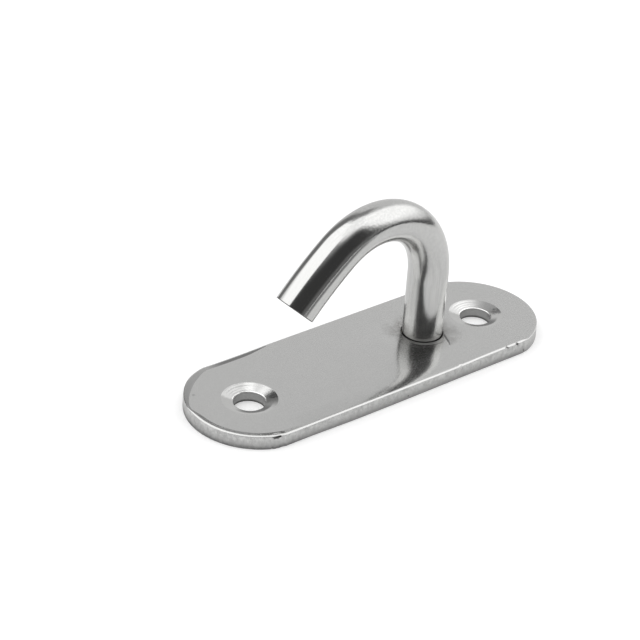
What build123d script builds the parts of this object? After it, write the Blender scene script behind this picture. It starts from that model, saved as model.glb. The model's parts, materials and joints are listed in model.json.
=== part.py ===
from build123d import *
import os
from math import atan2, cos, degrees, pi, radians, sin, sqrt

# Ceiling hook: a round bar, bent over into an open hook, stands in an oblong screw plate.
# Millimetres. Origin at the centre of the plate's back face, +Z out of the plate,
# +X along the plate towards the bar. The hook opens towards -X.

# Base plate
plate_length = 60.0
plate_width = 20.0
plate_thickness = 2.0
end_arc_excess = 0.2       # end arcs' radius over half the width: each end meets the sides at a faint corner
edge_round = 0.4           # rolled-over edge of the show face
back_edge_break = 0.1

# Countersunk screw holes
screw_from_end = 9.0
screw_hole_diameter = 4.6
countersink_width = 1.7    # the dish's ring around the hole, which makes its diameter 8.0
countersink_depth = 0.5

# Hook bar
bar_diameter = 6.0
bar_from_end = 19.1
bar_offset = 0.5           # the bar stands just off the plate's centre line
hook_turn = 5.0            # degrees that the hook is turned about its own shank
shank_rise = 10.0          # from the show face to the start of the bend
bend_radius = 12.0         # at the bar's centre line
bend_angle = 125.0
tail_radius = 60.0         # the tail runs on in a wide curve
tail_angle = 9.5
tip_lean = 3.0             # degrees that the sawn tip leans out of square
tip_break = 0.15

# Seat of the bar in the plate
bar_clearance = 0.15       # all round, seen as a thin dark ring on the show face
weld_depth = 1.2
weld_bevel = 0.9           # width of the groove for the weld on the back face

half_length = plate_length / 2
half_width = plate_width / 2
end_radius = half_width + end_arc_excess
corner_x = half_length - end_radius + sqrt(end_radius**2 - half_width**2)
screw_spacing = plate_length - 2 * screw_from_end
screw_hole_radius = screw_hole_diameter / 2
bar_x = half_length - bar_from_end
bar_radius = bar_diameter / 2
seat_radius = bar_radius + bar_clearance
groove_radius = seat_radius + weld_bevel


# Plate: two straight sides joined by two end arcs
with BuildPart() as base_plate:
    with BuildSketch(Plane.XY) as blank:
        with BuildLine() as outline:
            right_end = ThreePointArc((corner_x, -half_width), (half_length, 0), (corner_x, half_width))
            far_side = Line(right_end @ 1, (-corner_x, half_width))
            left_end = ThreePointArc(far_side @ 1, (-half_length, 0), (-corner_x, -half_width))
            Line(left_end @ 1, right_end @ 0)
        make_face()
    extrude(amount=plate_thickness)
    fillet(base_plate.faces().sort_by(Axis.Z)[-1].edges(), edge_round)
    chamfer(base_plate.faces().sort_by(Axis.Z)[0].edges(), back_edge_break)

    # the screw holes, each with its shallow dish in the show face
    with Locations(Plane.XY.offset(plate_thickness)):
        with GridLocations(screw_spacing, 0, 2, 1):
            CounterSinkHole(
                radius=screw_hole_radius,
                counter_sink_radius=screw_hole_radius + countersink_width,
                counter_sink_angle=2 * degrees(atan2(countersink_width, countersink_depth)),
            )

    # the bar's seat, with its groove for the weld in the back face
    with Locations(Plane(origin=(bar_x, bar_offset, 0), z_dir=(0, 0, -1))):
        CounterSinkHole(
            radius=seat_radius,
            counter_sink_radius=groove_radius,
            counter_sink_angle=2 * degrees(atan2(weld_bevel, weld_depth)),
        )
base_plate.part.label = "base_plate"


# Hook: the bar runs up its shank, round the bend and down its tail in one plane
turn = radians(hook_turn)
hook_plane = Plane(
    origin=(bar_x, bar_offset, 0),
    x_dir=(-cos(turn), -sin(turn), 0),
    z_dir=(-sin(turn), cos(turn), 0),
)

with BuildPart() as hook_rod:
    with BuildLine(hook_plane) as centre_line:
        shank = Line((0, 0), (0, plate_thickness + shank_rise))
        bend = JernArc(shank @ 1, shank % 1, bend_radius, -bend_angle)
        tail = JernArc(bend @ 1, bend % 1, tail_radius, -tail_angle)
        Line(tail @ 1, tail @ 1 + (tail % 1) * bar_radius)    # spare bar, sawn off below
    with BuildSketch(Plane(origin=(bar_x, bar_offset, 0), x_dir=hook_plane.z_dir, z_dir=(0, 0, 1))):
        Circle(bar_radius)
    sweep(path=centre_line.line)
    saw_normal = (tail % 1).rotate(Axis((0, 0, 0), hook_plane.z_dir), -tip_lean)
    split(bisect_by=Plane(origin=tail @ 1, x_dir=hook_plane.z_dir, z_dir=saw_normal), keep=Keep.BOTTOM)
    tip_face = hook_rod.faces().filter_by(GeomType.PLANE).sort_by_distance(tail @ 1)[0]
    chamfer(tip_face.edges(), tip_break)
hook_rod.part.label = "hook_rod"


# Weld: fills the groove behind the bar and is ground flush with the back face
with BuildPart() as back_weld:
    with BuildSketch(Plane(origin=(bar_x, bar_offset, 0), x_dir=(1, 0, 0), z_dir=(0, -1, 0))) as bead:
        Polygon(
            (bar_radius, 0),
            (groove_radius, 0),
            (seat_radius, weld_depth),
            (bar_radius, weld_depth),
            align=None,
        )
    revolve(axis=Axis((bar_x, bar_offset, 0), (0, 0, 1)))
back_weld.part.label = "back_weld"


os.makedirs("parts", exist_ok=True)
for piece in (base_plate, hook_rod, back_weld):
    export_step(piece.part, f"parts/{piece.part.label}.step")

tip_centre = hook_plane.to_local_coords(tail @ 1)
bar_length = shank.length + bend.length + tail.length
print(f"tip centre {tip_centre.X:.2f} from the shank and {tip_centre.Y:.2f} above the back face")
print(f"bar volume {hook_rod.part.volume:.2f}, section times length {pi * bar_radius**2 * bar_length:.2f}")
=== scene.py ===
import itertools
import json
import math

import bmesh
import bpy
from mathutils import Matrix, Vector
from mathutils.geometry import delaunay_2d_cdt


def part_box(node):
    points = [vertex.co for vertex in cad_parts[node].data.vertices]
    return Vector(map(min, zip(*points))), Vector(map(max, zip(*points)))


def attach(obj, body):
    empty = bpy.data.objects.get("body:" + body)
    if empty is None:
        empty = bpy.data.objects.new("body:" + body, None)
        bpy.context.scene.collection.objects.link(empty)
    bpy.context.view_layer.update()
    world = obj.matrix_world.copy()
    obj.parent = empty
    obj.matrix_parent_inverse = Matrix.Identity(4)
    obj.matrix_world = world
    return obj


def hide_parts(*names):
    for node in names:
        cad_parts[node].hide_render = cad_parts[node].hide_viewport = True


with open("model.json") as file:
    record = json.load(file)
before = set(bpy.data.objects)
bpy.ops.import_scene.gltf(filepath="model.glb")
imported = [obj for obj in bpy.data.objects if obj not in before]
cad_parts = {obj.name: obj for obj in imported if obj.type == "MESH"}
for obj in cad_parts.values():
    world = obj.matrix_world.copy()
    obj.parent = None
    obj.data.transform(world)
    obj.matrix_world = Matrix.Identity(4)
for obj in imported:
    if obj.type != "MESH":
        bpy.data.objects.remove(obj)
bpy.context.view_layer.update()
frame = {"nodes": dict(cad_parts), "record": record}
mm = 0.001
deg = math.pi / 180

# Ceiling hook: a polished round bar, bent over into a hook, welded into an oblong screw plate.
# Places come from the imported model, in metres: plate on Z = 0, bar along +Z, mouth towards -X.
plateLow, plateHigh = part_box("base_plate")
weldLow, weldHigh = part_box("back_weld")
_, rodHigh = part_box("hook_rod")
foot = ((weldLow.x + weldHigh.x) / 2, (weldLow.y + weldHigh.y) / 2, plateLow.z)
screwHoles = next(m for m in frame["record"]["mounts"] if m["name"] == "screw_holes")["dims"]
holeRadius = screwHoles["hole_r_mm"] * mm
holePlaces = [side * screwHoles["spacing_x_mm"] * mm / 2 for side in (-1, 1)]


# Node building: one class for a socket that takes part in sums, one for the tree it is in
class Wire:
    def __init__(self, bench, socket):
        self.bench = bench
        self.socket = socket

    def maths(self, operation, *others):
        values = dict(enumerate([self, *others]))
        return self.bench.add("ShaderNodeMath", {"operation": operation}, values)

    def __add__(self, other):
        return self.maths("ADD", other)

    __radd__ = __add__

    def __mul__(self, other):
        return self.maths("MULTIPLY", other)

    __rmul__ = __mul__

    def __sub__(self, other):
        return self.maths("SUBTRACT", other)

    def __rsub__(self, other):
        return self.bench.add("ShaderNodeMath", {"operation": "SUBTRACT"}, {0: other, 1: self})

    def __truediv__(self, other):
        return self.maths("DIVIDE", other)

    def sin(self):
        return self.maths("SINE")

    def cos(self):
        return self.maths("COSINE")

    def atMost(self, other):
        return self.maths("MINIMUM", other)

    def atLeast(self, other):
        return self.maths("MAXIMUM", other)

    def between(self, low, high):
        return self.atLeast(low).atMost(high)

    def fade(self, start, end):
        # 0 before start, 1 after end, smooth between; start may be the larger
        sockets = {"Value": self, "From Min": start, "From Max": end}
        return self.bench.add("ShaderNodeMapRange", {"interpolation_type": "SMOOTHSTEP"}, sockets)

    def band(self, middle, halfWidth, blur):
        # 1 near the middle, 0 further off than halfWidth and blur
        return (self - middle).maths("ABSOLUTE").fade(halfWidth + blur, halfWidth)


class Bench:
    def __init__(self, tree):
        self.tree = tree

    def add(self, kind, settings=None, sockets=None, out=0):
        node = self.tree.nodes.new(kind)
        for key, value in (settings or {}).items():
            setattr(node, key, value)
        for key, value in (sockets or {}).items():
            if isinstance(value, Wire):
                self.tree.links.new(value.socket, node.inputs[key])
            else:
                node.inputs[key].default_value = value
        return Wire(self, node.outputs[out])

    def also(self, wire, out):
        # another output of the node that a wire comes from
        return Wire(self, wire.socket.node.outputs[out])

    def split(self, vector):
        x = self.add("ShaderNodeSeparateXYZ", sockets={0: vector})
        return x, self.also(x, 1), self.also(x, 2)

    def join(self, x=0.0, y=0.0, z=0.0):
        return self.add("ShaderNodeCombineXYZ", sockets={0: x, 1: y, 2: z})

    def vector(self, operation, *values, out=0):
        return self.add("ShaderNodeVectorMath", {"operation": operation}, dict(enumerate(values)), out)

    def facing(self, direction, angle):
        # 1 where a level direction points towards the angle, -1 where it points away
        aim = (math.cos(angle), math.sin(angle), 0.0)
        return self.vector("DOT_PRODUCT", direction, aim, out=1)

    def scale(self, vector, factor):
        return self.add("ShaderNodeVectorMath", {"operation": "SCALE"}, {0: vector, "Scale": factor})

    def distance(self, place, point):
        return self.vector("DISTANCE", place, point, out=1)

    def mixColour(self, share, first, second):
        sockets = {0: share, 6: first, 7: second}
        return self.add("ShaderNodeMix", {"data_type": "RGBA"}, sockets, out=2)

    def mixSurface(self, share, first, second):
        return self.add("ShaderNodeMixShader", sockets={0: share, 1: first, 2: second})

    def store(self, geometry, name, value, kind="FLOAT_VECTOR"):
        sockets = {"Geometry": geometry, "Name": name, "Value": value}
        return self.add("GeometryNodeStoreNamedAttribute", {"data_type": kind}, sockets)

    def stored(self, name, kind="FLOAT_VECTOR"):
        return self.add("GeometryNodeInputNamedAttribute", {"data_type": kind}, {"Name": name})

    def noise(self, place, size, detail=2.0, stretch=None, roughness=0.5, warp=0.0):
        # size is the length of one cloud of the noise, in metres
        if stretch:
            place = self.vector("MULTIPLY", place, stretch)
        sockets = {"Vector": place, "Scale": 1 / size, "Detail": detail,
                   "Roughness": roughness, "Distortion": warp}
        return self.add("ShaderNodeTexNoise", {"noise_dimensions": "3D"}, sockets)

    def sendTo(self, kind, wire, name="Surface"):
        sink = self.tree.nodes.new(kind)
        self.tree.links.new(wire.socket, sink.inputs[name])


def strokes(bench, place, lines, blur):
    # 1 on the lines, which are given in millimetres by start, end and half width, and 0 off them
    total = None
    for start, end, width in lines:
        start, run = Vector(start) * mm, (Vector(end) - Vector(start)) * mm
        reach = bench.vector("SUBTRACT", place, tuple(start))
        share = bench.vector("DOT_PRODUCT", reach, tuple(run / run.length_squared), out=1).between(0.0, 1.0)
        line = bench.distance(reach, bench.scale(tuple(run), share)).fade(width * mm + blur, width * mm)
        total = total.atLeast(line) if total else line
    return total


def placeObject(name, data):
    placed = bpy.data.objects.new(name, data)
    bpy.context.scene.collection.objects.link(placed)
    return placed


def placeMesh(name, bm):
    mesh = bpy.data.meshes.new(name)
    bm.to_mesh(mesh)
    bm.free()
    return placeObject(name, mesh)


# Geometry Nodes run once, and leave a plain mesh
def growPiece(name, recipe, sizes):
    socketKinds = {int: "NodeSocketInt", float: "NodeSocketFloat", tuple: "NodeSocketVector",
                   bpy.types.Material: "NodeSocketMaterial"}
    tree = bpy.data.node_groups.new(name, "GeometryNodeTree")
    tree.interface.new_socket("Geometry", in_out="OUTPUT", socket_type="NodeSocketGeometry")
    identifiers = {}
    for key, value in sizes.items():
        socket = tree.interface.new_socket(key, in_out="INPUT", socket_type=socketKinds[type(value)])
        identifiers[key] = socket.identifier
    bench = Bench(tree)
    source = tree.nodes.new("NodeGroupInput")
    grown = recipe(bench, {key: Wire(bench, source.outputs[key]) for key in sizes})
    dressed = bench.add("GeometryNodeSetMaterial",
                        sockets={"Geometry": grown, "Material": Wire(bench, source.outputs["Finish"])})
    bench.sendTo("NodeGroupOutput", dressed, "Geometry")
    piece = placeObject(name, bpy.data.meshes.new(name))
    modifier = piece.modifiers.new(name, "NODES")
    modifier.node_group = tree
    for key, value in sizes.items():
        modifier[identifiers[key]] = value
    depsgraph = bpy.context.evaluated_depsgraph_get()
    mesh = bpy.data.meshes.new_from_object(
        piece.evaluated_get(depsgraph), preserve_all_data_layers=True, depsgraph=depsgraph)
    piece.modifiers.remove(modifier)
    piece.data = mesh
    mesh.name = name
    return piece


# Surfaces
def newMaterial(name, recipe):
    # recipe takes the material's bench and gives back its surface
    material = bpy.data.materials.new(name)
    material.use_nodes = True
    material.node_tree.nodes.clear()
    bench = Bench(material.node_tree)
    bench.sendTo("ShaderNodeOutputMaterial", recipe(bench))
    return material


def steelFinish(name, recipe, look):
    # recipe gives back colour, roughness and normal
    def surface(bench):
        colour, rough, normal = recipe(bench, look)
        sockets = {"Metallic": 1.0, "Base Color": colour, "Roughness": rough, "Normal": normal}
        return bench.add("ShaderNodeBsdfPrincipled", sockets=sockets)

    return newMaterial(name, surface)


def objectPlace(bench):
    return bench.add("ShaderNodeTexCoord", out="Object")


def bump(bench, height, depth, strength=1.0, under=None):
    sockets = {"Strength": strength, "Distance": depth, "Height": height}
    if under:
        sockets["Normal"] = under
    return bench.add("ShaderNodeBump", sockets=sockets)


barFinish = {
    "steel": (0.66, 0.66, 0.65, 1),
    "shade": (0.59, 0.59, 0.58, 1),
    "pits": (0.50, 0.50, 0.495, 1),
    "sooty": (0.34, 0.34, 0.33, 1),  # painted shade just above the plate where the bar meets it, partly real heat dulling, with a ragged border
    "sootHeight": (5.5 * mm, 2.2 * mm),
    "sootWander": 3.0 * mm,
    "sootShare": 0.75,
    "roughness": 0.08,
    "polishWidth": 0.16 * mm,      # the lengthwise polishing lines
    "polishLength": 0.03,          # their stretch along the bar, 1 is none
    "peelSize": 0.34 * mm,         # the skin is pitted where it was stretched round the bend
    "cloudSize": 1.2 * mm,
    "shankEnd": (20 * mm, 12 * mm),   # how far along the bar each of these fades out or in
    "bendStart": (9 * mm, 18 * mm),
    "bendEnd": (41 * mm, 32 * mm),
    "bendPits": 0.36,
    "otherPits": 0.05,
    "shankLines": 0.40,
    "otherLines": 0.08,
    "polishDepth": 0.002 * mm,
    "streakDepth": 0.010 * mm,
    "pitDepth": 0.010 * mm,
}


def barPlace(bench):
    # place in the bar before bending: x and y across it, z along it from the plate's back
    return bench.add("ShaderNodeAttribute", {"attribute_name": "straight"}, out="Vector")


def barSteel(bench, look):
    straight = barPlace(bench)
    _, _, along = bench.split(straight)
    stretch = (1.0, 1.0, look["polishLength"])
    lines = bench.noise(straight, look["polishWidth"], 3.0, stretch, 0.6)
    broad = bench.noise(straight, 6 * look["polishWidth"], 2.0, stretch)
    clouds = bench.noise(straight, look["cloudSize"], 3.0)
    peel = bench.noise(straight, look["peelSize"], 3.0, None, 0.6)
    onShank = along.fade(*look["shankEnd"])
    onBend = along.fade(*look["bendStart"]) * along.fade(*look["bendEnd"])
    atFoot = (along + (clouds - 0.5) * look["sootWander"]).fade(*look["sootHeight"])
    colour = bench.mixColour(clouds * 0.4 + lines * 0.6, look["shade"], look["steel"])
    specks = peel.fade(0.62, 0.40) * (onBend * look["bendPits"] + look["otherPits"])
    specks += lines.fade(0.62, 0.40) * (onShank * look["shankLines"] + look["otherLines"])
    colour = bench.mixColour(specks, colour, look["pits"])
    # painted shade near the foot, where the bar meets the plate, mixed with heat dulling
    colour = bench.mixColour(atFoot * look["sootShare"], colour, look["sooty"])
    rough = look["roughness"] + lines * 0.05 + clouds * 0.04 + onShank * 0.06 + onBend * peel * 0.04
    polish = bump(bench, lines + broad * 1.5, look["polishDepth"], 0.4)
    streaks = bump(bench, (lines + broad * 2.0) * (onShank + 0.25), look["streakDepth"], 0.7, polish)
    pitted = bump(bench, peel * (onBend + 0.12), look["pitDepth"], 1.0, streaks)
    return colour, rough, pitted


# dark marks on the plate's rim and wall, in millimetres: from, to, half width
markBlur = 0.10 * mm
scuffs = [
    ((-23.85, -9.20, 1.80), (-22.75, -9.45, 1.78), 0.17),
    ((18.6, -9.50, 1.86), (18.8, -9.50, 1.84), 0.07),
    ((20.65, -9.50, 1.84), (20.85, -9.50, 1.80), 0.07),
    ((21.95, -9.75, 1.15), (22.0, -9.75, 0.35), 0.02),
    ((-0.4, -9.78, 0.45), (-0.3, -9.78, 0.45), 0.08),
]

plateFinish = {
    "steel": (0.63, 0.63, 0.62, 1),
    "shade": (0.57, 0.57, 0.565, 1),
    "tint": (0.34, 0.335, 0.325, 1),   # left by the heat of the weld
    "dark": (0.10, 0.10, 0.10, 1),
    "roughness": 0.13,
    "frosting": 0.20,              # added in the matt specks between the polished ones
    "grain": 0.055 * mm,
    "cloudSize": 2.4 * mm,
    "heatReach": (5.6 * mm, 2.6 * mm),
    "heatWander": 4.0 * mm,
    "heatShare": 0.85,
    "wanderSize": 0.9 * mm,
    "spotSize": 0.55 * mm,
    # places, reaches and half widths in millimetres
    "smudges": [((7.6, 2.7, 2.0), 2.6), ((14.2, -1.8, 2.0), 2.7), ((13.0, -3.6, 2.0), 1.7)],
    "smudgeWander": 5.0 * mm,
    "scratches": [((13.1, -1.8, 2.0), (12.35, -3.8, 2.0), 0.11),
                  ((12.35, -3.8, 2.0), (12.0, -4.5, 2.0), 0.04)],
    "pit": (-27.06, 4.87, 2.0),
    "pitReach": (0.32 * mm, 0.1 * mm),
    "lip": 3.85 * mm,                # radius of the dull ring round the near side of the bar's seat
    "lipAngle": -115 * deg,
    "arcGap": 0.06 * mm,             # from there to its dark border
}


def plateSteel(bench, look):
    place = objectPlace(bench)
    grain = bench.noise(place, look["grain"], 2.0)
    clouds = bench.noise(place, look["cloudSize"], 3.0)
    colour = bench.mixColour(grain * 0.6 + clouds * 0.4, look["shade"], look["steel"])
    seat = (foot[0], foot[1], plateHigh.z)
    reach = bench.distance(place, seat)
    wander = bench.noise(place, look["wanderSize"], 4.0, None, 0.65) - 0.5
    heat = (reach + wander * look["heatWander"]).fade(*look["heatReach"])
    for centre, outer in look["smudges"]:
        away = bench.distance(place, tuple(Vector(centre) * mm)) + wander * look["smudgeWander"]
        heat = heat.atLeast(away.fade(outer * mm, 0.0) * 0.6)
    spots = bench.noise(place, look["spotSize"], 2.0).fade(0.54, 0.66) * heat
    heat = heat * look["heatShare"] + spots * 0.35
    outwards = bench.vector("NORMALIZE", bench.vector("SUBTRACT", place, seat))
    nearSide = bench.facing(outwards, look["lipAngle"]).fade(0.6, 0.95)
    lip = reach.fade(look["lip"], look["lip"] - 0.12 * mm) * nearSide
    arc = reach.band(look["lip"] + look["arcGap"], 0.03 * mm, 0.08 * mm) * nearSide
    colour = bench.mixColour(heat, colour, look["tint"])
    colour = bench.mixColour(lip * 0.6, colour, look["steel"])
    colour = bench.mixColour(arc * 0.5, colour, look["dark"])
    pit = bench.distance(place, tuple(Vector(look["pit"]) * mm))
    marks = pit.fade(*look["pitReach"]) * 0.35
    marks = marks.atLeast(strokes(bench, place, look["scratches"], markBlur) * 0.85)
    marks = marks.atLeast(strokes(bench, place, scuffs, markBlur))
    colour = bench.mixColour(marks, colour, look["dark"])
    frosted = grain.fade(0.48, 0.62) * look["frosting"]
    rough = look["roughness"] + frosted + heat * 0.2 + lip * 0.2
    satin = bump(bench, grain, 0.002 * mm, 0.4)
    return colour, rough, satin


edgeFinish = {
    "steel": (0.71, 0.71, 0.70, 1),
    "shade": (0.47, 0.47, 0.465, 1),
    "low": (0.44, 0.44, 0.435, 1),   # painted shade, darker towards the back where the wall meets the table
    "lowHeight": (1.5 * mm, 0.3 * mm),
    "torn": (0.20, 0.20, 0.20, 1),   # the lower part, where the shear tore the sheet, also painted shade along the wall's foot at the table,
    "tornHeight": 0.75 * mm,
    "tornLeft": (-17 * mm, -23 * mm),      # most at the left end
    "dressedRight": (20.5 * mm, 25 * mm),  # the right end is smoother
    "scuffed": (0.03, 0.03, 0.03, 1),
    "roughness": 0.3,
    "scoreWidth": 0.20 * mm,
    "scoreDepth": 0.016 * mm,
    "cloudSize": 0.6 * mm,
}


def edgeSteel(bench, look):
    place = objectPlace(bench)
    x, _, height = bench.split(place)
    scores = bench.noise(place, look["scoreWidth"], 3.0, (1.0, 1.0, 0.4), 0.65)
    clouds = bench.noise(place, look["cloudSize"], 3.0)
    dressed = x.fade(*look["dressedRight"])
    mottle = (scores * 0.4 + clouds * 0.6).fade(0.32, 0.68) * (1.0 - dressed * 0.75) + dressed * 0.40
    colour = bench.mixColour(mottle, look["shade"], look["steel"])
    # painted shade towards the back of the wall, where it meets the table
    low = height.fade(*look["lowHeight"]) * (1.0 - dressed * 0.8)
    colour = bench.mixColour(low, colour, look["low"])
    # torn lower part of the wall, together with painted shade along its foot at the table
    ragged = height + (clouds - 0.5) * (0.6 * mm) + (scores - 0.5) * (0.3 * mm)
    torn = ragged.fade(look["tornHeight"], 0.0) * (1.0 - dressed * 0.8)
    torn = torn * (x.fade(*look["tornLeft"]) * 0.45 + 0.5)
    colour = bench.mixColour(torn, colour, look["torn"])
    colour = bench.mixColour(strokes(bench, place, scuffs, markBlur), colour, look["scuffed"])
    rough = look["roughness"] + (scores - 0.5) * 0.2 + torn * 0.2
    scored = bump(bench, scores, look["scoreDepth"], 0.7)
    return colour, rough, scored


groundFinish = {
    "steel": (0.52, 0.52, 0.515, 1),
    "shade": (0.43, 0.43, 0.425, 1),
    "burnt": (0.13, 0.13, 0.13, 1),    # darker where it starts, along the back edge
    "burntMiddle": -15.2 * mm,
    "burntReach": (3.2 * mm, 3.6 * mm),
    "burntEdge": (8.6 * mm, 9.2 * mm),
    "roughness": 0.20,
    "lineWidth": 0.08 * mm,
}


def groundSteel(bench, look):
    place = objectPlace(bench)
    lines = bench.noise(place, look["lineWidth"], 3.0, (0.12, 1.0, 1.0), 0.6)
    colour = bench.mixColour(lines, look["shade"], look["steel"])
    x, y, _ = bench.split(place)
    burnt = x.band(look["burntMiddle"], *look["burntReach"]) * y.fade(*look["burntEdge"])
    colour = bench.mixColour(burnt * 0.75, colour, look["burnt"])
    rough = look["roughness"] + lines * 0.08
    return colour, rough, bump(bench, lines, 0.002 * mm, 0.4)


dishFinish = {
    "steel": (0.62, 0.62, 0.61, 1),
    "bright": (0.90, 0.90, 0.89, 1),    # painted highlight, lighter on the dish's far side
    "brightAngle": 66 * deg,
    "ringWidth": 0.42 * mm,
    "ringAngle": 88 * deg,
    "wedge": (0.13, 0.13, 0.13, 1),     # where it dug in
    "wedgeAngle": -17 * deg,
    "wedgeReach": (2.5 * mm, 3.2 * mm),
    "neck": (0.22, 0.22, 0.22, 1),
    "burr": (0.10, 0.10, 0.10, 1),      # painted shade round the near side of the bore, partly a burr
    "burrAngle": -105 * deg,
    "burrReach": (3.5 * mm, 3.1 * mm),
    "roughness": 0.11,
    "speckleSize": 0.10 * mm,
    "jaggedSize": 0.35 * mm,
}


def dishSteel(bench, look):
    place = objectPlace(bench)
    x, y, _ = bench.split(place)
    reach = bench.join(x - x.maths("SIGN") * holePlaces[1], y, 0.0)
    radius = bench.vector("LENGTH", reach, out=1)
    direction = bench.vector("NORMALIZE", reach)
    speckle = bench.noise(place, look["speckleSize"], 3.0)
    jagged = bench.noise(place, look["jaggedSize"], 3.0, None, 0.6) - 0.5
    # painted highlight: the dish is lighter on its far side
    bright = (bench.facing(direction, look["brightAngle"]) + jagged * 0.25).fade(0.20, 0.42)
    rings = ((radius / look["ringWidth"] + jagged) * (2 * math.pi)).sin().fade(-0.2, 0.9)
    onRings = bench.facing(direction, look["ringAngle"]).fade(0.75, 0.97)
    wedge = (bench.facing(direction, look["wedgeAngle"]) + jagged * 0.12).fade(0.975, 0.996)
    wedge = wedge * radius.fade(*look["wedgeReach"])
    # painted shade on the near side of the neck, partly a burr
    burr = (radius + jagged * (0.3 * mm)).fade(*look["burrReach"])
    burr = burr * bench.facing(direction, look["burrAngle"]).fade(0.4, 0.9)
    colour = bench.mixColour(bright, look["steel"], look["bright"])
    colour = bench.mixColour(rings * onRings * 0.25, colour, look["neck"])
    colour = bench.mixColour(wedge * 0.7, colour, look["wedge"])
    colour = bench.mixColour(burr * 0.9, colour, look["burr"])
    rough = look["roughness"] + speckle * 0.08
    return colour, rough, bump(bench, speckle, 0.002 * mm, 0.4)


boreFinish = {
    "steel": (0.62, 0.62, 0.61, 1),
    "shade": (0.38, 0.38, 0.38, 1),
    "burr": (0.06, 0.06, 0.06, 1),   # painted shade where the bore meets the table, partly a burr, darker at the back
    "burrHeight": (0.45 * mm, 0.05 * mm),
    "roughness": 0.42,
    "dragSize": 0.12 * mm,
}


def boreSteel(bench, look):
    place = objectPlace(bench)
    _, _, height = bench.split(place)
    drag = bench.noise(place, look["dragSize"], 3.0, (0.3, 0.3, 1.0), 0.6)
    colour = bench.mixColour(drag, look["shade"], look["steel"])
    # painted shade towards the back of the bore where it meets the table, partly a burr
    colour = bench.mixColour(height.fade(*look["burrHeight"]) * 0.85, colour, look["burr"])
    return colour, look["roughness"] + drag * 0.1, bump(bench, drag, 0.01 * mm, 0.5)


weldFinish = {
    "steel": (0.60, 0.60, 0.59, 1),
    "straw": (0.52, 0.45, 0.33, 1),
    "roughness": 0.34,
    "swirlSize": 0.18 * mm,
    "cloudSize": 0.8 * mm,
}


def weldSteel(bench, look):
    place = objectPlace(bench)
    swirl = bench.noise(place, look["swirlSize"], 4.0, (1.0, 0.15, 1.0), 0.6, 0.4)
    clouds = bench.noise(place, look["cloudSize"], 3.0)
    colour = bench.mixColour(clouds.fade(0.45, 0.7), look["steel"], look["straw"])
    return colour, look["roughness"] + (swirl - 0.5) * 0.25, bump(bench, swirl, 0.01 * mm, 0.6)


# the sawn ends of the bar and the tip's rounded edge: dull sawn steel, painted darker still as painted shade
# along the tip
cutAndShadeFinish = {
    "steel": (0.24, 0.24, 0.235, 1),
    "shade": (0.09, 0.09, 0.09, 1),
    "roughness": 0.4,
    "sawSize": 0.1 * mm,
}


def cutSteel(bench, look):
    saw = bench.noise(barPlace(bench), look["sawSize"], 3.0, (1.0, 0.05, 1.0), 0.6)
    colour = bench.mixColour(saw, look["shade"], look["steel"])
    return colour, look["roughness"] + saw * 0.15, bump(bench, saw, 0.01 * mm, 0.5)


finishes = {recipe.__name__: steelFinish(recipe.__name__, recipe, look) for recipe, look in (
    (barSteel, barFinish), (plateSteel, plateFinish), (edgeSteel, edgeFinish), (dishSteel, dishFinish),
    (groundSteel, groundFinish), (boreSteel, boreFinish), (weldSteel, weldFinish), (cutSteel, cutAndShadeFinish))}
print("finishes made:", ", ".join(finishes))


# Bent bar
barSizes = {
    "Radius": rodHigh.x - foot[0],
    "Shank": 12.0 * mm,            # from the back of the plate to the start of the bend
    "Bend radius": 12.0 * mm,
    "Bend angle": 125.0 * deg,
    "Tail radius": 60.0 * mm,
    "Tail angle": 9.5 * deg,
    "Turn": 5.0 * deg,     # of the whole hook about its own shank
    "Steps": 320,
    "Sides": 112,
}
tipSizes = {
    "round": 0.12 * mm,
    "steps": 3,
    "lean": 3.0 * deg,     # the tip is sawn a little out of square,
    "turn": 3.0 * deg,     # both ways
    "reach": 1.2 * mm,             # length over which the lean fades out
    "sharpAngle": 40 * deg,
}


def bentBar(bench, given):
    # the line's points are moved on to shank, bend and tail by their distance from the foot
    shank, bendRadius, bendAngle, tailRadius, tailAngle, turn = (given[key] for key in (
        "Shank", "Bend radius", "Bend angle", "Tail radius", "Tail angle", "Turn"))
    toTail = shank + bendRadius * bendAngle
    whole = toTail + tailRadius * tailAngle
    index = bench.add("GeometryNodeInputIndex")
    along = index * whole / (given["Steps"] - 1.0)
    bend = ((along - shank) / bendRadius).between(0.0, bendAngle)
    tail = bendAngle + ((along - toTail) / tailRadius).between(0.0, tailAngle)
    aside = bendRadius * (1.0 - bend.cos()) + tailRadius * (bendAngle.cos() - tail.cos())
    rise = along.atMost(shank) + bendRadius * bend.sin() + tailRadius * (tail.sin() - bendAngle.sin())
    mouthward = bench.join(turn.cos() * -1.0, turn.sin() * -1.0)
    place = bench.vector("ADD", given["Foot"], bench.scale(mouthward, aside))
    place = bench.vector("ADD", place, bench.join(z=rise))

    line = bench.add("GeometryNodeCurvePrimitiveLine")
    line = bench.add("GeometryNodeResampleCurve", sockets={"Curve": line, "Count": given["Steps"]})
    line = bench.store(line, "along", along, "FLOAT")
    line = bench.add("GeometryNodeSetPosition", sockets={"Geometry": line, "Position": place})
    section = bench.add("GeometryNodeCurvePrimitiveCircle",
                        sockets={"Resolution": given["Sides"], "Radius": given["Radius"]})
    section = bench.store(section, "around", bench.add("GeometryNodeInputPosition"))
    skin = bench.add("GeometryNodeCurveToMesh",
                     sockets={"Curve": line, "Profile Curve": section, "Fill Caps": True})
    x, y, _ = bench.split(bench.stored("around"))
    return bench.store(skin, "straight", bench.join(x, y, bench.stored("along", "FLOAT")))


bar = growPiece("bent_bar", bentBar, {"Foot": foot, **barSizes, "Finish": finishes["barSteel"]})


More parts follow.
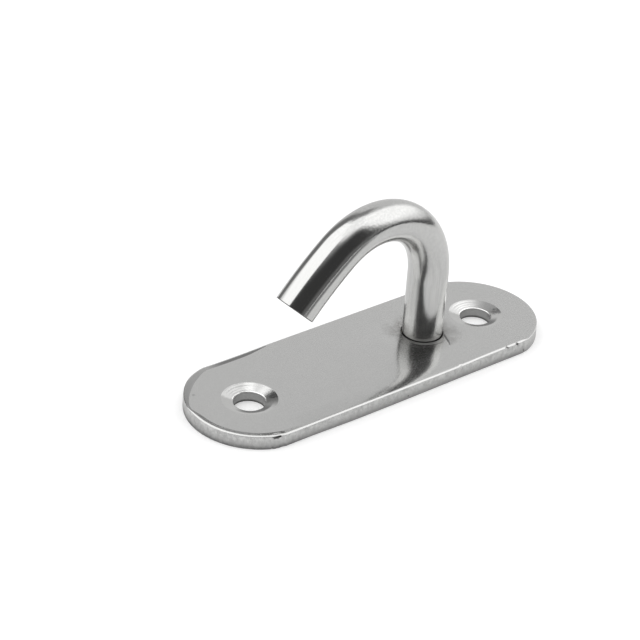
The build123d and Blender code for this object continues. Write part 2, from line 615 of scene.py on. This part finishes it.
def leanTip(bm, tip):
    # slide the last rings along the bar, more on one side than on the other
    centre = tip.calc_center_median()
    direction = tip.normal.copy()
    sideways = Vector((math.sin(barSizes["Turn"]), -math.cos(barSizes["Turn"]), 0.0))
    outward = sideways.cross(direction).normalized()
    if outward.z < 0:
        outward.negate()
    for vert in bm.verts:
        reach = vert.co - centre
        behind = -reach.dot(direction)
        if reach.length > 3 * barSizes["Radius"] or behind > tipSizes["reach"]:
            continue
        share = max(0.0, 1 - behind / tipSizes["reach"])
        slide = reach.dot(outward) * math.tan(tipSizes["lean"])
        slide += reach.dot(sideways) * math.tan(tipSizes["turn"])
        vert.co += direction * slide * share * share * (3 - 2 * share)
    bm.normal_update()


def finishBar(piece):
    # round the tip's edge, and give both sawn ends their own finish
    mesh = piece.data
    mesh.materials.append(finishes["cutSteel"])
    bm = bmesh.new()
    bm.from_mesh(mesh)
    bmesh.ops.recalc_face_normals(bm, faces=bm.faces)
    ends = [f for f in bm.faces if len(f.verts) > 4]
    tip = max(ends, key=lambda f: f.calc_center_median().z)
    for face in ends:
        face.material_index = 1
    leanTip(bm, tip)
    # the rounded edge takes the darkened cut finish too: painted shade along the tip
    bmesh.ops.bevel(bm, geom=list(tip.edges), offset=tipSizes["round"], segments=tipSizes["steps"],
                    profile=0.5, affect="EDGES", clamp_overlap=True, material=1)
    for face in bm.faces:
        face.smooth = True
    bm.to_mesh(mesh)
    bm.free()
    mesh.set_sharp_from_angle(angle=tipSizes["sharpAngle"])


finishBar(bar)
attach(bar, "root")
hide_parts("hook_rod")
print("bent bar:", len(bar.data.polygons), "faces")


# Screw plate
plateSizes = {
    "arcExcess": 0.2 * mm,         # the end arcs' radius over half the width
    "backBreak": 0.08 * mm,
    "rollWidth": 3.6 * mm,         # the polished face falls away towards its front edge,
    "rollSlope": 17.5 * deg,
    "rollEnds": ((17 * mm, 7 * mm), (-13 * mm, -1 * mm)),
    "evenSlope": 3.0 * deg,
    "evenEnds": ((-1 * mm, -13 * mm), (-23 * mm, -18 * mm)),
    "shoulderStart": 1.30 * mm,    # at the left more steeply from this far in,
    "shoulderSlope": 10 * deg,
    "shoulderEnd": (-16 * mm, -22 * mm),
    "rimStart": 0.71 * mm,         # and most in the rubbed rim, which ends at the sheared wall
    "rimSlope": 21 * deg,
    "rimCorner": 0.43 * mm,
    "cornerRound": 0.07 * mm,
    "wallLean": 9 * deg,
    "wallFoot": (0.01 * mm, 0.11 * mm),    # how far in the wall ends at the back, left and right
    "wallFootEnds": (-4 * mm, 14 * mm),    # of these two places
    "backRim": 0.25,               # the rim at the back and right end, as a share of the front's
    "leftRim": 0.86,
    "farCorner": (-24.6 * mm, 8.9 * mm, 0.18 * mm, 3.4 * mm),    # the blank is fuller there: by, over
    "cornerFoot": 0.24 * mm,       # the front wall ends this much further in beside the left arc
    "cornerFootEnds": ((-23.4 * mm, -22.4 * mm), (-8 * mm, -20 * mm)),
    "facetWidth": 1.0 * mm,        # of the ground facet round the far corner
    "facetLeast": 0.03 * mm,
    "facetShown": 0.12 * mm,       # narrower than this it has the plate's own finish
    "facetSlope": 6 * deg,
    "facetEnds": ((-9.5 * mm, -16 * mm), (1 * mm, 9 * mm)),
    "wallSteps": 12,
    "roundSteps": 5,
    "rimSteps": 14,
    "facetSteps": 3,
    "rollSteps": 14,
    "arcSteps": 240,
    "sideSteps": 340,
    "seatRadius": 3.15 * mm,
    "seatBreak": 0.10 * mm,
    "holeSegments": 192,
    "sewWithin": 0.0008 * mm,      # points nearer than this become one
    "sharpAngle": 30 * deg,
}
halfLength = round((plateHigh.x - plateLow.x) / 2, 6)
halfWidth = round((plateHigh.y - plateLow.y) / 2, 6)
thickness = round(plateHigh.z - plateLow.z, 6)
endRadius = halfWidth + plateSizes["arcExcess"]
arcCentre = halfLength - endRadius


def rimStations():
    # the rim against the clock from the right end's near corner: which side, on the arc or not, how far
    arcSteps, sideSteps = plateSizes["arcSteps"], plateSizes["sideSteps"]
    stations = []
    for side in (1, -1):
        stations += [(side, True, step / arcSteps) for step in range(arcSteps + 1)]
        stations += [(side, False, step / sideSteps) for step in range(1, sideSteps)]
    return stations


def rimPoint(station, inset):
    side, onArc, share = station
    radius = endRadius - inset
    reach = halfWidth - max(0.0, inset)
    swing = math.asin(min(1.0, reach / radius))
    if onArc:
        angle = swing * (2 * share - 1)
        return side * (arcCentre + radius * math.cos(angle)), side * radius * math.sin(angle)
    return side * (arcCentre + radius * math.cos(swing)) * (1 - 2 * share), side * reach


def smooth(value, start, end):
    share = min(1.0, max(0.0, (value - start) / (end - start)))
    return share * share * (3 - 2 * share)


def within(value, ends):
    # 1 between two soft ends
    first, second = ends
    return smooth(value, *first) * smooth(value, *second)


def blend(first, second, share):
    return first + (second - first) * share


def wornAt(station):
    # how much of the full rim a station has: all at the front, least at the back
    side, onArc, share = station
    angle = math.asin(halfWidth / endRadius) * (2 * share - 1) if onArc else math.pi / 2
    outX, outY = side * math.cos(angle), side * math.sin(angle)
    facing = smooth(-0.8 * outY - 0.6 * min(0.0, outX), 0.3, 0.62) * smooth(outX, 0.33, 0.20)
    atLeft = max(0.0, -outX)
    return blend(plateSizes["backRim"], 1.0, facing) * blend(1.0, plateSizes["leftRim"], atLeft)


def facetAt(x, y):
    # width of the ground facet, from the back edge round the left end's far corner
    alongX, alongY = plateSizes["facetEnds"]
    width = plateSizes["facetWidth"] * smooth(x, *alongX) * smooth(y, *alongY)
    return plateSizes["facetLeast"] + width * (1 - 0.3 * smooth(y, 9 * mm, 10 * mm))


def bulgeAt(x, y):
    cornerX, cornerY, bulge, reach = plateSizes["farCorner"]
    return bulge * math.exp(-(math.hypot(x - cornerX, y - cornerY) / reach) ** 2)


def rimSlopeAt(inset, worn, facetStart, x):
    # fall of the show face at a distance from the outline, as a tangent
    shoulder, rim = plateSizes["shoulderStart"] * worn, plateSizes["rimStart"] * worn
    rollWidth = plateSizes["rollWidth"]
    rolled = (1 - inset / rollWidth) ** 2 * (0.1 + 0.9 * within(x, plateSizes["rollEnds"]))
    even = smooth(inset, rollWidth, rollWidth * 0.75) * within(x, plateSizes["evenEnds"])
    slope = math.tan(plateSizes["rollSlope"]) * rolled + math.tan(plateSizes["evenSlope"]) * even
    slope *= smooth(worn, 0.3, 0.8)
    if inset < facetStart:
        slope += math.tan(plateSizes["facetSlope"]) * smooth(facetStart - shoulder, 0.05 * mm, 0.3 * mm)
    shouldered = smooth(inset, shoulder, shoulder * 0.86) * smooth(x, *plateSizes["shoulderEnd"])
    slope = max(slope, math.tan(plateSizes["shoulderSlope"]) * shouldered)
    return max(slope, math.tan(plateSizes["rimSlope"]) * smooth(inset, rim * 1.04, rim * 0.96))


def spread(start, end, steps):
    return [start + (end - start) * step / steps for step in range(steps)]


def rimSection(station):
    # inset and height from the flat of the show face out to its corner and down the wall to the back
    worn = wornAt(station)
    shoulder, corner = plateSizes["shoulderStart"] * worn, plateSizes["rimCorner"] * worn
    cornerRound = plateSizes["cornerRound"] * worn
    x, y = rimPoint(station, 0.0)
    facetStart = shoulder + facetAt(x, y)
    insets = (spread(plateSizes["rollWidth"], facetStart, plateSizes["rollSteps"])
              + spread(facetStart, shoulder, plateSizes["facetSteps"])
              + spread(shoulder, corner, plateSizes["rimSteps"]) + [corner])
    height = thickness
    section = [(insets[0], height)]
    for inner, outer in zip(insets, insets[1:]):
        height -= (inner - outer) * rimSlopeAt((inner + outer) / 2, worn, facetStart, x)
        section.append((outer, height))
    first, last = plateSizes["rimSlope"], math.pi / 2 - plateSizes["wallLean"] * worn
    for step in range(1, plateSizes["roundSteps"] + 1):
        angle = blend(first, last, step / plateSizes["roundSteps"])
        section.append((corner - cornerRound * (math.sin(angle) - math.sin(first)),
                        height - cornerRound * (math.cos(first) - math.cos(angle))))
    wallInset, wallTop = section[-1]
    backBreak = plateSizes["backBreak"]
    wallFoot = blend(*plateSizes["wallFoot"], smooth(x, *plateSizes["wallFootEnds"]))
    wallFoot = worn * (wallFoot + plateSizes["cornerFoot"] * within(x, plateSizes["cornerFootEnds"]))
    for step in range(1, plateSizes["wallSteps"] + 1):
        share = step / plateSizes["wallSteps"]
        section.append((blend(wallInset, wallFoot, share), blend(wallTop, backBreak, share)))
    section.append((wallFoot + backBreak, 0.0))
    return [(inset - bulgeAt(x, y), height) for inset, height in reversed(section)]


# knocks on the rim, in millimetres: place, half length along the rim, half height, and how far in and
# down the steel went
knocks = [
    ((-23.3, -9.35, 1.70), 0.62, 0.11, 0.16, 0.03),
    ((-23.1, -9.20, 1.86), 0.85, 0.12, 0.00, 0.03),
    ((-23.96, -9.31, 0.15), 0.20, 0.30, 0.14, 0.00),
    ((-23.3, -9.60, 0.15), 0.18, 0.40, 0.12, 0.00),
    ((18.7, -9.50, 1.86), 0.30, 0.20, 0.12, 0.08),
    ((20.7, -9.50, 1.83), 0.28, 0.22, 0.12, 0.07),
    ((21.95, -9.75, 0.75), 0.22, 0.80, 0.10, 0.00),
    ((9.8, -9.50, 1.86), 0.26, 0.18, 0.08, 0.05),
]


def knockRim(loops):
    for place, along, high, inward, down in knocks:
        for vert in itertools.chain(*loops):
            reach = vert.co - Vector(place) * mm
            level = math.hypot(reach.x, reach.y) / (along * mm)
            steep = reach.z / (high * mm)
            strength = max(0.0, 1 - level * level - steep * steep)
            if strength > 0:
                push = -Vector((vert.co.x * 0.25, vert.co.y, 0.0)).normalized() * inward * mm
                vert.co += (push - Vector((0.0, 0.0, down * mm))) * math.sqrt(strength)


def ring(bm, points, height):
    return [bm.verts.new((x, y, height)) for x, y in points]


def skinBetween(bm, lower, upper, material):
    # quads between two loops of the same count; faces look away from the loops' inside
    count = len(lower)
    for k in range(count):
        n = (k + 1) % count
        face = bm.faces.new((lower[k], lower[n], upper[n], upper[k]))
        face.material_index = material
        face.smooth = True


def circle(x, y, radius):
    count = plateSizes["holeSegments"]
    angles = [2 * math.pi * k / count for k in range(count)]
    return [(x + radius * math.cos(angle), y + radius * math.sin(angle)) for angle in angles]


def fillFlat(bm, outer, holes, material, upward):
    # the flat inside the outer loop, left open at the holes, each given as its centre and its loop
    loops = [outer] + [loop for _, loop in holes]
    verts = [v for loop in loops for v in loop]
    flat = [Vector((v.co.x, v.co.y)) / mm for v in verts]
    edges, start = [], 0
    for loop in loops:
        edges += [(start + k, start + (k + 1) % len(loop)) for k in range(len(loop))]
        start += len(loop)
    triangles, sources = delaunay_2d_cdt(flat, edges, [], 1, 1e-6)[2:4]
    openings = [(Vector(centre) / mm, (loop[0].co.xy - Vector(centre)).length / mm) for centre, loop in holes]
    for triangle in triangles:
        corners = [verts[sources[i][0]] for i in triangle]
        middle = sum((v.co.xy for v in corners), Vector((0, 0))) / 3 / mm
        if any((middle - centre).length < radius for centre, radius in openings):
            continue
        face = bm.faces.new(corners if upward else corners[::-1])
        face.material_index = material
        face.smooth = True


holeSizes = {
    "Bore radius": holeRadius,
    "Dish radius": 4.0 * mm,
    "Dish depth": 0.5 * mm,
    "Neck round": 0.05 * mm,
    "Rings": 71,                   # of the mesh,
    "Bore share": 0.12,            # this share of them in the bore
    "Tool rings": 2.0,
    "Ring height": 0.0012 * mm,
}
# how unevenly the tool cut the dishes
cutSizes = {
    "wobble": 2.0,
    "wobbleScale": 1.3,
    "chatter": 0.3,
    "chatterScale": 7.0,
    "roughSide": (0.94, -0.34, 0.0),    # here it chattered,
    "roughChatter": 5.0,
    "ringedSide": (0.05, 1.0, 0.0),     # and here it left rings
}


def turnedHole(bench, given):
    # a sheet of rings by segments, wrapped round the hole: bore wall, neck and dish, with the tool's rings
    sheet = bench.add("GeometryNodeMeshGrid", sockets={
        "Size X": 1.0, "Size Y": 1.0, "Vertices X": given["Rings"], "Vertices Y": given["Segments"]})
    x, y, _ = bench.split(bench.add("GeometryNodeInputPosition"))
    across = x + 0.5
    angle = (y + 0.5) * (2 * math.pi)
    onBore = (across / given["Bore share"]).between(0.0, 1.0)
    onDish = ((across - given["Bore share"]) / (1.0 - given["Bore share"])).between(0.0, 1.0)
    radius = given["Bore radius"] + (given["Dish radius"] - given["Bore radius"]) * onDish
    direction = bench.join(angle.cos(), angle.sin(), 0.0)
    spot = bench.vector("ADD", direction, bench.join(z=given["Seed"]))
    wobble = bench.add("ShaderNodeTexNoise", {"noise_dimensions": "4D"},
                       {"Vector": spot, "W": onDish * 2.0, "Scale": cutSizes["wobbleScale"], "Detail": 2.0})
    turns = (onDish * given["Tool rings"] * (2 * math.pi) + wobble * cutSizes["wobble"]).sin()
    edge = onDish.fade(0.0, 0.10) * onDish.fade(1.0, 0.90)
    chatter = bench.add("ShaderNodeTexNoise", {"noise_dimensions": "3D"},
                        {"Vector": bench.vector("ADD", direction, bench.join(z=onDish * 1.4)),
                         "Scale": cutSizes["chatterScale"], "Detail": 3.0})
    rough = bench.vector("DOT_PRODUCT", direction, cutSizes["roughSide"], out=1).fade(0.75, 1.0)
    ringed = bench.vector("DOT_PRODUCT", direction, cutSizes["ringedSide"], out=1).fade(0.6, 0.95)
    chatter = (chatter - 0.5) * (rough * cutSizes["roughChatter"] + cutSizes["chatter"])
    rings = given["Ring height"] * edge * (turns * ringed + chatter)
    neck = given["Neck round"] * onDish.fade(0.09, 0.0) * -1.0
    height = (given["Neck height"] + neck) * onBore + given["Dish depth"] * onDish + rings
    flat = bench.vector("MULTIPLY", direction, bench.join(radius, radius, 0.0))
    place = bench.vector("ADD", given["Centre"], bench.vector("ADD", flat, bench.join(z=height)))
    hole = bench.add("GeometryNodeSetPosition", sockets={"Geometry": sheet, "Position": place})
    return bench.add("GeometryNodeMergeByDistance", sockets={"Geometry": hole, "Distance": 0.5e-6})


plateSlots = ["plateSteel", "edgeSteel", "dishSteel", "boreSteel", "groundSteel"]


def slotOf(finish):
    return plateSlots.index(finish)


def buildPlate():
    bm = bmesh.new()
    stations = rimStations()
    sections = [rimSection(station) for station in stations]
    loops = [[bm.verts.new((*rimPoint(station, section[k][0]), section[k][1]))
              for station, section in zip(stations, sections)] for k in range(len(sections[0]))]
    for k in range(len(loops) - 1):
        finish = "edgeSteel" if k <= plateSizes["wallSteps"] else "plateSteel"
        skinBetween(bm, loops[k], loops[k + 1], slotOf(finish))
    # the facet's own finish
    inner = len(loops) - 1 - plateSizes["rollSteps"]
    for k in range(inner - plateSizes["facetSteps"], inner):
        for index, station in enumerate(stations):
            if facetAt(*rimPoint(station, 0.0)) > plateSizes["facetShown"]:
                corners = {loops[k][index], loops[k + 1][index], loops[k][(index + 1) % len(stations)]}
                face = next(f for f in loops[k][index].link_faces if corners <= set(f.verts))
                face.material_index = slotOf("groundSteel")
    knockRim(loops)

    # the bar's seat, with the groove for the weld behind it
    seatX, seatY = foot[0], foot[1]
    grooveRadius = (weldHigh.x - weldLow.x) / 2
    seatRadius, seatBreak = plateSizes["seatRadius"], plateSizes["seatBreak"]
    seatSection = [(grooveRadius, 0.0), (seatRadius, weldHigh.z), (seatRadius, thickness - seatBreak),
                   (seatRadius + seatBreak * 0.4, thickness - seatBreak * 0.3),
                   (seatRadius + seatBreak, thickness)]
    seatLoops = [ring(bm, circle(seatX, seatY, radius), height) for radius, height in seatSection]
    for lower, upper in zip(seatLoops, seatLoops[1:]):
        skinBetween(bm, upper, lower, slotOf("boreSteel"))

    # the screw holes, grown by nodes and sewn in
    seatCentre = (seatX, seatY)
    upperRims, lowerRims = [(seatCentre, seatLoops[-1])], [(seatCentre, seatLoops[0])]
    neck = thickness - holeSizes["Dish depth"]
    for index, holeX in enumerate(holePlaces):
        hole = growPiece("hole", turnedHole, {
            "Centre": (holeX, 0.0, 0.0), "Neck height": neck, "Segments": plateSizes["holeSegments"] + 1,
            **holeSizes, "Seed": 3.0 + 2.0 * index, "Finish": finishes["dishSteel"]})
        known = set(bm.faces)
        bm.from_mesh(hole.data)
        for face in bm.faces:
            if face not in known:
                inBore = face.calc_center_median().z < neck - 0.002 * mm
                face.smooth = True
                face.material_index = slotOf("boreSteel" if inBore else "dishSteel")
        bpy.data.objects.remove(hole)
        upperRims.append(((holeX, 0.0), ring(bm, circle(holeX, 0.0, holeSizes["Dish radius"]), thickness)))
        lowerRims.append(((holeX, 0.0), ring(bm, circle(holeX, 0.0, holeRadius), 0.0)))
    fillFlat(bm, loops[-1], upperRims, slotOf("plateSteel"), True)
    fillFlat(bm, loops[0], lowerRims, slotOf("plateSteel"), False)
    bmesh.ops.remove_doubles(bm, verts=bm.verts, dist=plateSizes["sewWithin"])
    markSharp(bm)
    openEdges = sum(1 for edge in bm.edges if not edge.is_manifold)
    piece = placeMesh("screw_plate", bm)
    for name in plateSlots:
        piece.data.materials.append(finishes[name])
    print("screw plate:", len(piece.data.polygons), "faces,", openEdges, "open edges")
    return piece


def markSharp(bm):
    for edge in bm.edges:
        if len(edge.link_faces) != 2:
            continue
        slots = {face.material_index for face in edge.link_faces}
        atDish = len(slots) == 2 and slotOf("dishSteel") in slots
        edge.smooth = not (atDish or edge.calc_face_angle(0) > plateSizes["sharpAngle"])


plate = buildPlate()
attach(plate, "root")
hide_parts("base_plate")


# Weld behind the bar
frame["nodes"]["back_weld"].data.materials.clear()
frame["nodes"]["back_weld"].data.materials.append(finishes["weldSteel"])


# Camera at the photograph's angle
cameraSizes = {
    "azimuth": -40.2294 * deg,
    "elevation": 31.4509 * deg,
    "roll": 4.1394 * deg,
    "distance": 308.0594 * mm,
    "aim": (2.1859 * mm, 13.5679 * mm, 0.0),
    "lens": 115.93,
    "sensor": 36,
    "clipStart": 0.01,
}


def lookFrom(azimuth, elevation):
    # azimuth 0 is towards -Y and 90 degrees towards +X
    return Vector((math.sin(azimuth) * math.cos(elevation), -math.cos(azimuth) * math.cos(elevation),
                   math.sin(elevation)))


def placeCamera():
    roll = cameraSizes["roll"]
    back = lookFrom(cameraSizes["azimuth"], cameraSizes["elevation"])
    right = (-back).cross(Vector((0, 0, 1))).normalized()
    up = right.cross(-back)
    across = right * math.cos(roll) + up * math.sin(roll)
    upward = -right * math.sin(roll) + up * math.cos(roll)
    camera = placeObject("camera", bpy.data.cameras.new("camera"))
    camera.matrix_world = Matrix((across, upward, back)).transposed().to_4x4()
    camera.location = Vector(cameraSizes["aim"]) + back * cameraSizes["distance"]
    camera.data.lens = cameraSizes["lens"]
    camera.data.sensor_width = cameraSizes["sensor"]
    camera.data.clip_start = cameraSizes["clipStart"]
    bpy.context.scene.camera = camera


placeCamera()


# Studio: white table, white surroundings, soft panels, and dark ones on the camera's side
studio = {
    "tableRadius": 0.16,
    "tableSides": 128,
    "tableWhite": 0.80,
    "tableGlow": 0.32,             # lifts the lit table to white for the camera
    "tableSheen": 0.06,            # and to a paler tone in the steel's reflections
    "tableDrop": 0.02 * mm,
    "cardReaches": (0.045, 0.155),
    "cardAzimuths": (-26, 42),
    "cardLift": 0.3 * mm,
    "cardLevel": 0.26,
    "cardBlur": (0.3, 0.3, 0.25, 0.2),
    "worldLevel": 0.75,
    "panelDistance": 0.50,
    "panelStep": 0.004,
    "panelCentre": (0.0, 0.0, 0.012),
    "panelColumns": 32,
    "panelRows": 24,
}


def lightPaths(bench, *names):
    first = bench.add("ShaderNodeLightPath", out=names[0])
    total = first
    for name in names[1:]:
        total = total.atLeast(bench.also(first, name))
    return total


def tableSurface(bench):
    matt = bench.add("ShaderNodeBsdfDiffuse", sockets={"Color": (*[studio["tableWhite"]] * 3, 1)})
    surface = matt
    lifts = [("tableSheen", "Is Glossy Ray", "Is Transmission Ray"), ("tableGlow", "Is Camera Ray")]
    for level, *rays in lifts:
        glow = bench.add("ShaderNodeEmission", sockets={"Strength": studio[level]})
        lifted = bench.add("ShaderNodeAddShader", sockets={0: matt, 1: glow})
        surface = bench.mixSurface(lightPaths(bench, *rays), surface, lifted)
    return surface


def buildTable():
    bm = bmesh.new()
    bmesh.ops.create_circle(bm, cap_ends=True, segments=studio["tableSides"], radius=studio["tableRadius"])
    table = placeMesh("table", bm)
    table.location.z = plateLow.z - studio["tableDrop"]
    table.data.materials.append(newMaterial("tableWhite", tableSurface))


def buildWorld():
    world = bpy.data.worlds.new("surroundings")
    bpy.context.scene.world = world
    world.use_nodes = True
    world.node_tree.nodes.clear()
    bench = Bench(world.node_tree)
    plain = bench.add("ShaderNodeBackground", sockets={"Strength": studio["worldLevel"]})
    white = bench.add("ShaderNodeBackground", sockets={"Strength": 1.0})
    seen = lightPaths(bench, "Is Camera Ray", "Is Glossy Ray", "Is Transmission Ray")
    bench.sendTo("ShaderNodeOutputWorld", bench.mixSurface(seen, plain, white))


def lightSheet(name, grid, level, blur, lightsTable=False):
    # a sheet of light, seen only in the steel, from rows of places
    rows, columns = len(grid) - 1, len(grid[0]) - 1
    bm = bmesh.new()
    layer = bm.loops.layers.uv.new("panel")
    verts = [[bm.verts.new(place) for place in line] for line in grid]
    for row in range(rows):
        for column in range(columns):
            corners = [(row, column), (row + 1, column), (row + 1, column + 1), (row, column + 1)]
            face = bm.faces.new([verts[r][c] for r, c in corners])
            for loop, (r, c) in zip(face.loops, corners):
                loop[layer].uv = (c / columns, r / rows)
    sheet = placeMesh(name, bm)

    def surface(bench):
        # plain light of one level, thinning out to nothing over blur at the left, right, bottom and top
        u, v, _ = bench.split(bench.add("ShaderNodeUVMap", {"uv_map": "panel"}))
        left, right, bottom, top = blur
        solid = u.fade(0.0, left) * u.fade(1.0, 1.0 - right) * v.fade(0.0, bottom) * v.fade(1.0, 1.0 - top)
        lit = bench.add("ShaderNodeEmission", sockets={"Strength": level})
        return bench.mixSurface(solid, bench.add("ShaderNodeBsdfTransparent"), lit)

    sheet.data.materials.append(newMaterial(name, surface))
    sheet.visible_camera = False
    sheet.visible_diffuse = lightsTable
    sheet.visible_shadow = False


def buildCard():
    # a grey card lying just over the table
    lift = Vector((0.0, 0.0, plateLow.z + studio["cardLift"]))
    places = [[lookFrom(azimuth * deg, 0.0) * reach + lift for azimuth in studio["cardAzimuths"]]
              for reach in studio["cardReaches"]]
    lightSheet("tableCard", places, studio["cardLevel"], studio["cardBlur"])


def studioPanel(name, size):
    # a curved panel round the object
    distance = studio["panelDistance"] + studio["panelStep"] * size["behind"]
    rows, columns = studio["panelRows"], studio["panelColumns"]
    grid = []
    for row in range(rows + 1):
        left, right = (blend(a, b, row / rows) for a, b in zip(size["foot"], size.get("head", size["foot"])))
        elevation = blend(*size["elevations"], row / rows) * deg
        azimuths = [blend(left, right, column / columns) * deg for column in range(columns + 1)]
        grid.append([Vector(studio["panelCentre"]) + lookFrom(azimuth, elevation) * distance
                     for azimuth in azimuths])
    lightSheet(name, grid, size["level"], size["blur"], size.get("lightsTable", False))


# foot and head are the azimuths of a panel's lower and upper corners, head only where it differs; blur
# is a share of its size
panels = {
    "dimTable": {"behind": 0, "foot": (-30, 52), "head": (-30, 48), "elevations": (-9, 13),
                 "level": 0.16, "blur": (0.3, 0.3, 0.1, 0.4)},
    "tableEdge": {"behind": 1, "foot": (5, 112), "elevations": (-12, 5),
                  "level": 0.08, "blur": (0.1, 0.3, 0.3, 0.4)},
    "dimRear": {"behind": 2, "foot": (157, 226), "head": (148, 174), "elevations": (-8, 54),
                "level": 0.20, "blur": (0.3, 0.3, 0.15, 0.15)},
    "dimUpper": {"behind": 3, "foot": (122, 178), "head": (118, 172), "elevations": (40, 67),
                 "level": 0.30, "blur": (0.3, 0.3, 0.3, 0.3)},
    "darkFront": {"behind": 4, "foot": (-116, 58), "head": (-62, 20), "elevations": (0, 86),
                  "level": 0.052, "blur": (0.12, 0.13, 0.1, 0.42)},
    "greyBack": {"behind": 5, "foot": (98, 176), "elevations": (-14, 66),
                 "level": 0.74, "blur": (0.3, 0.2, 0.1, 0.2)},
    "softRight": {"behind": 7, "foot": (28, 122), "elevations": (0, 78),
                  "level": 1.55, "blur": (0.12, 0.16, 0.3, 0.12), "lightsTable": True},
    "softLeft": {"behind": 8, "foot": (-192, -66), "head": (-200, -66), "elevations": (18, 82),
                 "level": 1.55, "blur": (0.1, 0.06, 0.25, 0.12), "lightsTable": True},
    "softTop": {"behind": 10, "foot": (-180, 180), "elevations": (62, 90),
                "level": 1.4, "blur": (0.001, 0.001, 0.3, 0.001)},
}


buildTable()
buildCard()
buildWorld()
for name, size in panels.items():
    studioPanel(name, size)

bpy.context.scene.view_settings.view_transform = "Standard"
print("studio ready")
